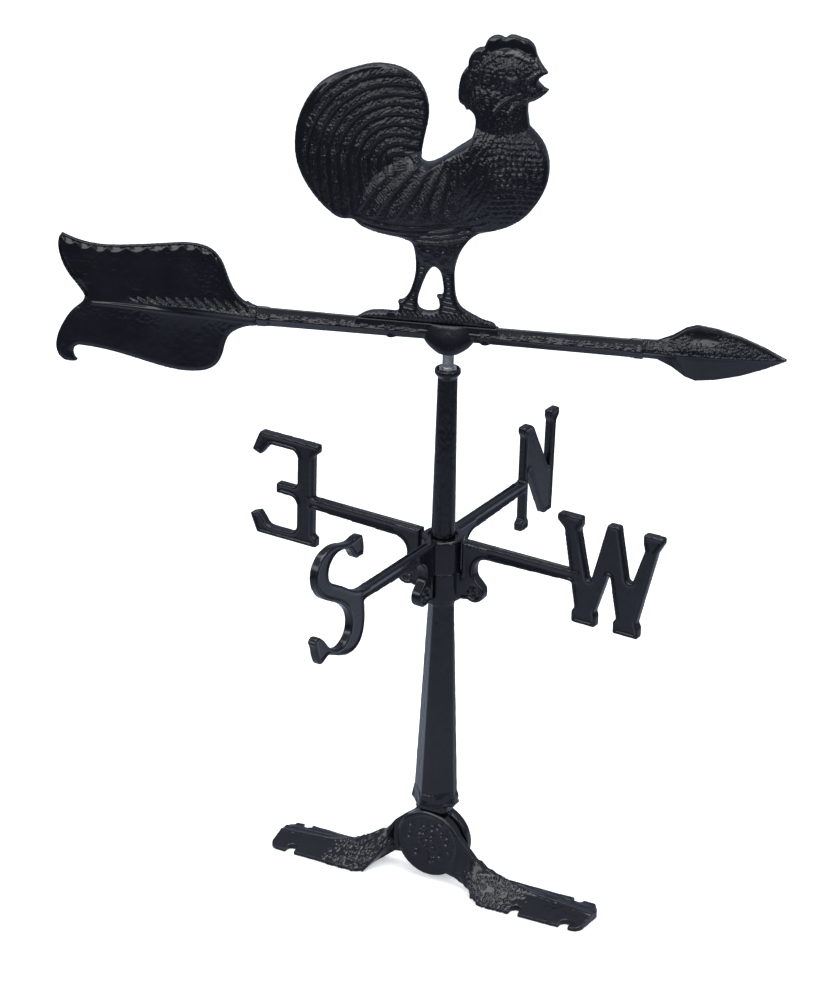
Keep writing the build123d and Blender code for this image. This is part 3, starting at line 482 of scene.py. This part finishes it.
def make_post(node, coat, seed):
    """A post whose outer sides carry a few faint hammer marks, longer than they are wide."""
    casting = Casting(node, 0.72, 3)
    x, y, up = casting.place.T
    turn = np.arctan2(y, x)
    radius = np.hypot(x, y)
    side = np.abs(casting.normal[:, 2]) < 0.7
    outside = side & (radius > HOLLOW_RADIUS)
    dent, number = cells(turn * POST_RADIUS / 5.0, up / 8.5, seed)
    height = -0.12 * (1 - smooth(0.1, 0.5, dent)) * (number > 0.7)
    height = height + 0.03 * noise(turn * POST_RADIUS / 2.4, up / 4.0, up * 0, seed + 1)
    # The skirt is beaten, with a rolled lower edge.
    skirt = between(SKIRT_LOW, SKIRT_HIGH, 2.0, up)
    height = height + skirt * 0.6 * noise(turn * POST_RADIUS / 4.6, up / 4.0, up * 0, seed + 3)
    height = height + 0.7 * bead(up - SKIRT_LOW, 1.3)
    casting.press(np.where(outside, height, 0.0))
    casting.grain(3.0, 0.05, seed + 2)
    casting.done("post", coat)


# ---------------------------------------------------------------- feet

DISC_RADIUS = 30.5
RIDGE_Y = -4.0


def rings(u, v, size, seed, share):
    """Scattered raised rings of different sizes, as on beaten iron, for a share of the places."""
    distance, number = cells(u / size, v / size, seed)
    radius = 0.26 + 0.14 * number
    ring = bead(distance - radius, 0.19) - 0.5 * bead(distance, radius * 0.6)
    return ring * smooth(1 - share - 0.05, 1 - share + 0.05, number)


# Along a foot: distance out from the pivot, then the front lip's and the ridge's y and height.
NEAR_FOOT = (
    (14, 29, 38, 48, 58, 72, 88, 106, 162),
    (-10.4, -11, -14, -24.5, -31, -32.2, -32.2, -32.2, -32.2),
    (14.5, 10.5, 7.5, 5, 3.6, 3, 3, 3, 3),
    (-10.4, -10.4, -10, -9.5, -7.5, -4.5, -3, -4, -8.5),
    (61, 46, 36, 27.5, 20.8, 14.5, 9.8, 8.5, 7.5),
)
FAR_FOOT = (
    (14, 30, 40, 54, 72, 86, 102, 153),
    (3.6, 3.6, 0.5, -29, -32.2, -32.2, -32.2, -32.2),
    (14.5, 15.5, 14.5, 4, 3, 3, 3, 3),
    (3.6, 3.6, 3.6, 2, -1, -4, -4.8, -8.5),
    (61, 49, 40, 27, 16, 11, 8.5, 7.5),
)


def make_foot(node, side, lines, seed, coat):
    """A foot; side is 1 for the one along +X, whose disc is in front, and -1 for the other."""
    casting = Casting(node, 0.56, 3)
    x, y, up = casting.place.T
    out = x * side
    stations, lip_y, lip_up, ridge_y, ridge_up = lines
    from_lip = np.hypot(y - np.interp(out, stations, lip_y), up - np.interp(out, stations, lip_up))
    from_ridge = np.hypot(y - np.interp(out, stations, ridge_y), up - np.interp(out, stations, ridge_up))
    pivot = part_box(node)[1].z / MM - DISC_RADIUS
    front = smooth(0.3, 0.8, -casting.normal[:, 1])
    above = smooth(0.25, 0.7, casting.normal[:, 2])
    from_pivot = np.hypot(x, up - pivot)
    disc = 1 - smooth(DISC_RADIUS - 1.5, DISC_RADIUS + 0.5, from_pivot)
    # Disc: rolled rim and a close field of rings a little above its middle.
    rolled = (1 - smooth(26, 34, out)) * smooth(pivot - 22, pivot - 8, up)
    height = 1.5 * front * bead(from_pivot - DISC_RADIUS + 3.0, 2.2) * rolled
    field = front * disc * (1 - smooth(0.85, 1.1, np.hypot((x - 4) / 17, (up - pivot - 6) / 13)))
    close = field * rings(x, up, 6.8, seed, 1.0)
    stray = front * disc * (1 - field) * smooth(12, 20, up) * (1 - smooth(22, 26, from_pivot))
    loose = stray * rings(x, up, 6.8, seed + 1, 0.35)
    # Arm: rings that start along its lower side and cover it at the bend.
    face = np.clip(front + above, 0, 1) * (y < RIDGE_Y + 5) * smooth(24, 32, out)
    share = from_lip / (from_lip + from_ridge + 0.1)
    dense = smooth(0.0, 0.15, (out - 30) / 40 - share + 0.25) * (1 - smooth(84, 100, out))
    crowded = face * dense * rings(1.1 * x, from_lip, 6.2, seed + 2, 0.9)
    height += close + loose + 0.85 * crowded
    # Plate: shallow dents in front, long streaks behind the ridge, and a rolled ridge.
    dent, number = cells(x / 8.0, from_lip / 6.5, seed + 3)
    height -= 0.13 * face * smooth(84, 96, out) * (1 - smooth(0.1, 0.55, dent)) * (number > 0.15)
    height += 0.5 * bead(from_ridge, 2.0) * smooth(24, 32, out)
    flange = above * (y > 0) * smooth(62, 70, out)
    height += 0.5 * flange * noise(x / 14.0, y / 1.9, up * 0, seed + 4)
    casting.press(height)
    if side > 0:
        cut_slit(casting, pivot)
    casting.grain(2.6, 0.05, seed + 5)
    casting.level()
    casting.done(node, coat, close + loose)


def cut_slit(casting, pivot):
    """A short slanting slit in the near disc's face, below its pivot."""
    x, y, up = casting.place.T
    front = smooth(0.6, 0.9, -casting.normal[:, 1])
    slit = stroke(x, up, [(-1.6, pivot - 8.5), (1.4, pivot - 17.5)], 1.2)
    casting.press(-1.8 * front * slit)


# ---------------------------------------------------------------- threaded rod

THREAD_PITCH = 25.4 / 16
THREAD_DEPTH = 0.97
THREAD_END = 475.0
RING_POINTS = 28
RINGS_PER_PITCH = 6


def thread_depth(phase):
    """How far a 60 degree thread with flat crests and roots is cut, over one turn."""
    part = phase - np.floor(phase)
    return THREAD_DEPTH * np.clip((np.abs(part - 0.5) * 2 - 0.125) / 0.62, 0, 1)


def make_rod(material):
    low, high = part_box("spindle_rod")
    radius = (high.x - low.x) / 2 / MM
    bottom, top = low.z / MM, high.z / MM
    rings_count = int((top - bottom) / THREAD_PITCH * RINGS_PER_PITCH)
    turn = np.arange(RING_POINTS) * tau / RING_POINTS
    levels = np.linspace(bottom, top, rings_count)
    points = []
    for z in levels:
        run_out = smooth(0.0, 1.6, np.array(min(z - bottom, top - z)))
        threaded = 1 - smooth(THREAD_END - 1.5, THREAD_END, np.array(z))
        cut = thread_depth(z / THREAD_PITCH - turn / tau) * run_out * threaded
        r = radius - cut - 0.8 * (1 - run_out)
        points.extend(zip(r * np.cos(turn) * MM, r * np.sin(turn) * MM, np.full(RING_POINTS, z * MM)))
    faces = []
    for level in range(rings_count - 1):
        a = level * RING_POINTS
        for k in range(RING_POINTS):
            n = (k + 1) % RING_POINTS
            faces.append((a + k, a + n, a + RING_POINTS + n, a + RING_POINTS + k))
    faces.append(tuple(range(RING_POINTS - 1, -1, -1)))
    faces.append(tuple((rings_count - 1) * RING_POINTS + k for k in range(RING_POINTS)))
    mesh = bpy.data.meshes.new("threaded_rod")
    mesh.from_pydata(points, [], faces)
    mesh.polygons.foreach_set("use_smooth", np.ones(len(mesh.polygons), bool))
    rod = bpy.data.objects.new("threaded_rod", mesh)
    bpy.context.scene.collection.objects.link(rod)
    mesh.materials.append(material)
    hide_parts("spindle_rod")
    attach(rod, "post")


# ---------------------------------------------------------------- materials


def fill_ramp(node, stops):
    """Give a colour ramp node its (position, colour) stops."""
    elements = node.color_ramp.elements
    while len(elements) < len(stops):
        elements.new(0.5)
    for element, (position, colour) in zip(elements, stops):
        element.position = position
        element.color = (*colour, 1.0)


class Nodes:
    """A material's node tree, with short calls for what the materials here share."""

    def __init__(self, name):
        self.material = bpy.data.materials.new(name)
        self.material.use_nodes = True
        self.tree = self.material.node_tree
        self.shader = self.tree.nodes["Principled BSDF"]
        self.place = self.tree.nodes.new("ShaderNodeTexCoord").outputs["Object"]

    def noise(self, size_mm, detail=3.0, roughness=0.5, stretch=(1.0, 1.0, 1.0)):
        """Noise with features of about size_mm, from 0 to 1."""
        mapping = self.tree.nodes.new("ShaderNodeMapping")
        mapping.inputs["Scale"].default_value = stretch
        self.tree.links.new(self.place, mapping.inputs["Vector"])
        texture = self.tree.nodes.new("ShaderNodeTexNoise")
        texture.inputs["Scale"].default_value = 1.0 / (size_mm * MM)
        texture.inputs["Detail"].default_value = detail
        texture.inputs["Roughness"].default_value = roughness
        self.tree.links.new(mapping.outputs["Vector"], texture.inputs["Vector"])
        return texture.outputs["Fac"]

    def ramp(self, value, stops):
        """A colour ramp from (position, colour) stops."""
        node = self.tree.nodes.new("ShaderNodeValToRGB")
        fill_ramp(node, stops)
        self.tree.links.new(value, node.inputs["Fac"])
        return node.outputs["Color"]

    def span(self, value, low, high):
        """Value from 0..1 spread over low..high."""
        node = self.tree.nodes.new("ShaderNodeMapRange")
        node.inputs["From Min"].default_value = 0.3
        node.inputs["From Max"].default_value = 0.7
        node.inputs["To Min"].default_value = low
        node.inputs["To Max"].default_value = high
        self.tree.links.new(value, node.inputs["Value"])
        return node.outputs["Result"]

    def bump(self, value, depth_mm, under=None):
        node = self.tree.nodes.new("ShaderNodeBump")
        node.inputs["Strength"].default_value = 1.0
        node.inputs["Distance"].default_value = depth_mm * MM
        self.tree.links.new(value, node.inputs["Height"])
        if under is not None:
            self.tree.links.new(under, node.inputs["Normal"])
        return node.outputs["Normal"]

    def use(self, socket, value):
        if isinstance(value, bpy.types.NodeSocket):
            self.tree.links.new(value, self.shader.inputs[socket])
        else:
            self.shader.inputs[socket].default_value = value


class Coat:
    """Gloss black powder coat over aluminium: orange peel, and a duller, dustier bloom in patches."""

    def __init__(self):
        self.smooth = self.mixed("black_powder_coat", 0.008, 0.03, 0.12)
        self.textured = self.mixed("black_powder_coat_on_sand_texture", 0.12, 0.5, 0.1)

    def mixed(self, name, skin_depth, peel_depth, roughness):
        m = Nodes(name)
        peel = m.noise(1.9, detail=1.0)
        skin = m.noise(0.8, detail=3.0, roughness=0.6)
        patch = m.noise(24.0, detail=3.0)
        blacks = [(0.3, (0.0026, 0.0028, 0.0046)), (0.7, (0.0046, 0.0050, 0.0076))]
        m.use("Base Color", m.ramp(patch, blacks))
        m.use("Roughness", m.span(patch, roughness, roughness + 0.09))
        m.use("IOR", 1.5)
        m.use("Normal", m.bump(skin, skin_depth, m.bump(peel, peel_depth)))
        return m.material


def bare_steel(name, light, dark, roughness):
    """Machined or zinc-plated steel with a dull bloom and fine scratches."""
    m = Nodes(name)
    bloom = m.noise(3.0, detail=4.0)
    scratches = m.noise(0.25, detail=2.0, stretch=(1.0, 1.0, 6.0))
    m.use("Base Color", m.ramp(bloom, [(0.3, dark), (0.7, light)]))
    m.use("Metallic", 1.0)
    m.use("Roughness", m.span(bloom, roughness, roughness + 0.14))
    m.use("Normal", m.bump(scratches, 0.01))
    return m.material


def black_oxide():
    """Oiled black oxide on small screws."""
    m = Nodes("black_oxide")
    bloom = m.noise(1.2, detail=3.0)
    m.use("Base Color", m.ramp(bloom, [(0.3, (0.012, 0.012, 0.013)), (0.7, (0.028, 0.028, 0.030))]))
    m.use("Metallic", 0.6)
    m.use("Roughness", m.span(bloom, 0.35, 0.5))
    m.use("Normal", m.bump(bloom, 0.02))
    return m.material


def bronze():
    """Sintered bearing bronze, slightly pitted and oil-stained."""
    m = Nodes("bearing_bronze")
    stain = m.noise(4.0, detail=3.0)
    pores = m.noise(0.3, detail=2.0)
    m.use("Base Color", m.ramp(stain, [(0.3, (0.30, 0.17, 0.07)), (0.7, (0.46, 0.29, 0.12))]))
    m.use("Metallic", 1.0)
    m.use("Roughness", m.span(pores, 0.35, 0.5))
    m.use("Normal", m.bump(pores, 0.02))
    return m.material


def dress(node, material):
    """Give a carried-over CAD piece its material."""
    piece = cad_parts[node]
    piece.data.materials.clear()
    piece.data.materials.append(material)


# ---------------------------------------------------------------- camera, floor and light

VIEW_TURN = radians(27.3)
VIEW_LIFT = radians(24.2)
VIEW_ROLL = radians(1.5)
VIEW_DISTANCE = 3.996
VIEW_TARGET = Vector((-0.0206, -0.0106, 0.3600))
VIEW_LENS = 175.8
SENSOR_WIDTH = 36.0
FLOOR_RADIUS = 30.0
FLOOR_GAP = 0.0004
SHEET_RADIUS = 1.5
SHEET_DROP = 0.002
DAYLIGHT = (0.95, 0.98, 1.0)


def make_camera():
    camera = bpy.data.objects.new("camera", bpy.data.cameras.new("camera"))
    bpy.context.scene.collection.objects.link(camera)
    camera.data.lens = VIEW_LENS
    camera.data.sensor_width = SENSOR_WIDTH
    camera.data.clip_end = 60.0
    back = Vector((sin(VIEW_TURN) * cos(VIEW_LIFT), -cos(VIEW_TURN) * cos(VIEW_LIFT), sin(VIEW_LIFT)))
    camera.location = VIEW_TARGET + VIEW_DISTANCE * back
    turn = back.to_track_quat("Z", "Y").to_matrix().to_4x4()
    camera.rotation_euler = turn.to_euler()
    camera.rotation_euler.rotate_axis("Z", VIEW_ROLL)
    bpy.context.scene.camera = camera


def flat_disc(name, radius, height, points=96):
    turn = np.arange(points) * tau / points
    mesh = bpy.data.meshes.new(name)
    mesh.from_pydata([(radius * cos(t), radius * sin(t), 0.0) for t in turn], [], [tuple(range(points))])
    disc = bpy.data.objects.new(name, mesh)
    bpy.context.scene.collection.objects.link(disc)
    disc.location.z = height
    return disc


def make_floor():
    """A pale floor, and a glowing sheet seen only in reflections, which paints the floor's reflection in the
    lower castings: a painted reflection, darker in the middle as a painted shadow of the vane, and fading
    out with distance.
    """
    ground = cad_box[0][2] - FLOOR_GAP
    floor = flat_disc("studio_floor", FLOOR_RADIUS, ground)
    m = Nodes("studio_floor")
    m.use("Base Color", (0.86, 0.86, 0.865, 1.0))
    m.use("Roughness", 0.9)
    m.use("Emission Color", (1.0, 1.0, 1.0, 1.0))
    m.use("Emission Strength", 0.45)
    floor.data.materials.append(m.material)
    floor.visible_glossy = False
    sheet = flat_disc("painted_reflection_sheet", SHEET_RADIUS, ground - SHEET_DROP)
    m = Nodes("painted_reflection_sheet")
    distance = m.tree.nodes.new("ShaderNodeVectorMath")
    distance.operation = "LENGTH"
    m.tree.links.new(m.place, distance.inputs[0])
    spread = m.tree.nodes.new("ShaderNodeMapRange")
    spread.inputs["From Max"].default_value = SHEET_RADIUS
    m.tree.links.new(distance.outputs["Value"], spread.inputs["Value"])
    # Painted reflection of the floor: dark in the middle as the vane's painted shadow, brightest about 0.3 m
    # out, then fading past about a metre.
    stops = [
        (0.0, (0.34, 0.38, 0.48)),
        (0.2, (0.50, 0.56, 0.70)),
        (0.38, (0.38, 0.43, 0.55)),
        (0.6, (0.30, 0.34, 0.43)),
        (0.72, (0.12, 0.13, 0.18)),
        (1.0, (0.06, 0.065, 0.09)),
    ]
    emission = m.tree.nodes.new("ShaderNodeEmission")
    m.tree.links.new(m.ramp(spread.outputs["Result"], stops), emission.inputs["Color"])
    m.tree.links.new(emission.outputs["Emission"], m.tree.nodes["Material Output"].inputs["Surface"])
    sheet.data.materials.append(m.material)
    # The sheet glows though it is no lamp, and is seen only in the castings' reflections.
    sheet.visible_camera = False
    sheet.visible_diffuse = False
    sheet.visible_shadow = False


def area_light(name, place, aim, size, watts):
    data = bpy.data.lights.new(name, "AREA")
    data.shape = "RECTANGLE"
    data.size, data.size_y = size
    data.energy = watts
    data.color = DAYLIGHT
    light = bpy.data.objects.new(name, data)
    bpy.context.scene.collection.objects.link(light)
    light.location = place
    light.rotation_euler = (Vector(place) - Vector(aim)).to_track_quat("Z", "Y").to_euler()


# The mix node's colour sockets, which share their names with its number and vector ones.
MIX_COLOUR_A, MIX_COLOUR_B, MIX_COLOUR_OUT = 6, 7, 2


def make_lights():
    """Large soft lights overhead and high in front, weaker ones at the sides, and a graded surround."""
    middle = (0.0, 0.0, 0.4)
    area_light("overhead", (0.2, 0.2, 3.2), middle, (2.8, 2.8), 95.0)
    area_light("front_high", (-0.5, -3.6, 2.2), middle, (5.0, 1.4), 62.0)
    area_light("left_side", (-3.2, -1.6, 1.9), middle, (1.0, 1.8), 22.0)
    area_light("right_side", (3.4, -1.2, 2.0), middle, (1.0, 1.8), 22.0)
    world = bpy.data.worlds.new("surround")
    bpy.context.scene.world = world
    world.use_nodes = True
    tree = world.node_tree
    direction = tree.nodes.new("ShaderNodeTexCoord").outputs["Generated"]

    def ramped(axis, stops):
        dot = tree.nodes.new("ShaderNodeVectorMath")
        dot.operation = "DOT_PRODUCT"
        dot.inputs[1].default_value = axis
        spread = tree.nodes.new("ShaderNodeMapRange")
        spread.inputs["From Min"].default_value = -1.0
        ramp = tree.nodes.new("ShaderNodeValToRGB")
        fill_ramp(ramp, stops)
        tree.links.new(direction, dot.inputs[0])
        tree.links.new(dot.outputs["Value"], spread.inputs["Value"])
        tree.links.new(spread.outputs["Result"], ramp.inputs["Fac"])
        return ramp.outputs["Color"]

    # From straight down to straight up, in front of the vane and then behind it.
    front_stops = [
        (0.0, (0.06, 0.065, 0.09)),
        (0.48, (0.10, 0.11, 0.14)),
        (0.64, (0.36, 0.39, 0.46)),
        (1.0, (0.50, 0.54, 0.62)),
    ]
    back_stops = [
        (0.0, (0.06, 0.065, 0.09)),
        (0.48, (0.22, 0.25, 0.31)),
        (0.75, (0.26, 0.29, 0.37)),
        (1.0, (0.40, 0.44, 0.52)),
    ]
    front = ramped((0, 0, 1), front_stops)
    back = ramped((0, 0, 1), back_stops)
    behind = (-sin(VIEW_TURN), cos(VIEW_TURN), 0.0)
    share = ramped(behind, [(0.45, (0, 0, 0)), (0.75, (1, 1, 1))])
    mix = tree.nodes.new("ShaderNodeMix")
    mix.data_type = "RGBA"
    tree.links.new(share, mix.inputs["Factor"])
    tree.links.new(front, mix.inputs[MIX_COLOUR_A])
    tree.links.new(back, mix.inputs[MIX_COLOUR_B])
    tree.links.new(mix.outputs[MIX_COLOUR_OUT], tree.nodes["Background"].inputs["Color"])
    tree.nodes["Background"].inputs["Strength"].default_value = 1.0
    bpy.context.scene.view_settings.view_transform = "Standard"


# ---------------------------------------------------------------- the whole scene

make_camera()
make_floor()
make_lights()

coat = Coat()
plated = bare_steel("zinc_plated_steel", (0.62, 0.63, 0.65), (0.40, 0.41, 0.43), 0.28)
rolled = bare_steel("rolled_thread_steel", (0.56, 0.56, 0.57), (0.38, 0.38, 0.39), 0.34)
ball_steel = bare_steel("bearing_steel", (0.80, 0.80, 0.81), (0.66, 0.66, 0.68), 0.08)

make_rooster(coat)
make_tail(coat)
make_shaft(coat)
make_head(coat)
make_compass_casting("north_south_arms", SOUTH, coat, 71)
make_compass_casting("east_west_arms", WEST, coat, 81)
make_post("lower_post", coat, 91)
make_post("upper_post", coat, 95)
make_foot("right_foot", 1, NEAR_FOOT, 101, coat)
make_foot("left_foot", -1, FAR_FOOT, 121, coat)
make_rod(rolled)

FASTENERS = (
    "spindle_jam_nut",
    "spindle_star_washer",
    "foot_pivot_bolt",
    "foot_bolt_washer",
    "foot_lock_washer",
)
for node in FASTENERS:
    dress(node, plated)
dress("pivot_ball", ball_steel)
dress("pivot_bush", bronze())
for node in ("rooster_screws", "arrow_grub_screws"):
    dress(node, black_oxide())
